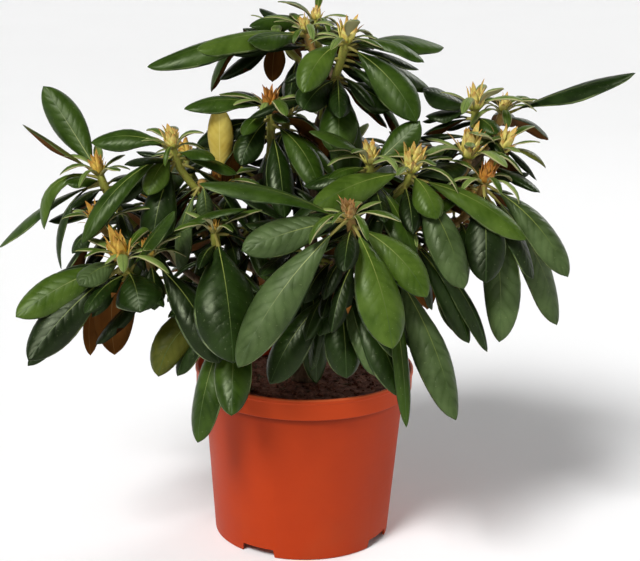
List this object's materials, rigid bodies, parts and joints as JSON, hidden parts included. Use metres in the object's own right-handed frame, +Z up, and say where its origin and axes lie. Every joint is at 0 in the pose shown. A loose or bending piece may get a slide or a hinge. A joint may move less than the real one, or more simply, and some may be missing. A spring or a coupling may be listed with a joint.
{
  "type": "rhododendron shrub in a nursery pot",
  "caption": "Evergreen rhododendron shrub with whorls of long leaves and scaly flower buds, growing in a round tapered nursery pot with a rim band.",
  "frame": {"origin": "on the ground under the middle of the whole object, which is the pot's axis", "axes": "+Z up, +X to the right and -Y towards the front as the plant is seen"},
  "size_m": [0.6407, 0.4286, 0.5501],
  "materials": {
    "pot": "moulded plastic with a soft sheen",
    "soil": "moist fibrous compost",
    "bark": "thin rough bark",
    "foliage": "leathery half-gloss leaves"
  },
  "bodies": {
    "root": {"pot": "pot", "soil": "soil", "trunk": "bark", "bough_crown_top": "bark", "crown_top": "foliage", "bough_upper_left": "bark", "upper_left": "foliage", "bough_left_upper": "bark", "left_upper": "foliage", "bough_left_middle": "bark", "left_middle": "foliage", "bough_left_low": "bark", "left_low": "foliage", "bough_front_left": "bark", "front_left": "foliage", "bough_centre_low": "bark", "centre_low": "foliage", "bough_centre": "bark", "centre": "foliage", "bough_right_middle": "bark", "right_middle": "foliage", "bough_right_top": "bark", "right_top": "foliage", "bough_back_left": "bark", "back_left": "foliage", "bough_back": "bark", "back": "foliage", "bough_back_right": "bark", "back_right": "foliage", "bough_back_low": "bark", "back_low": "foliage", "bough_inner_left": "bark", "inner_left": "foliage", "bough_inner_right": "bark", "inner_right": "foliage"}
  },
  "joints": []
}
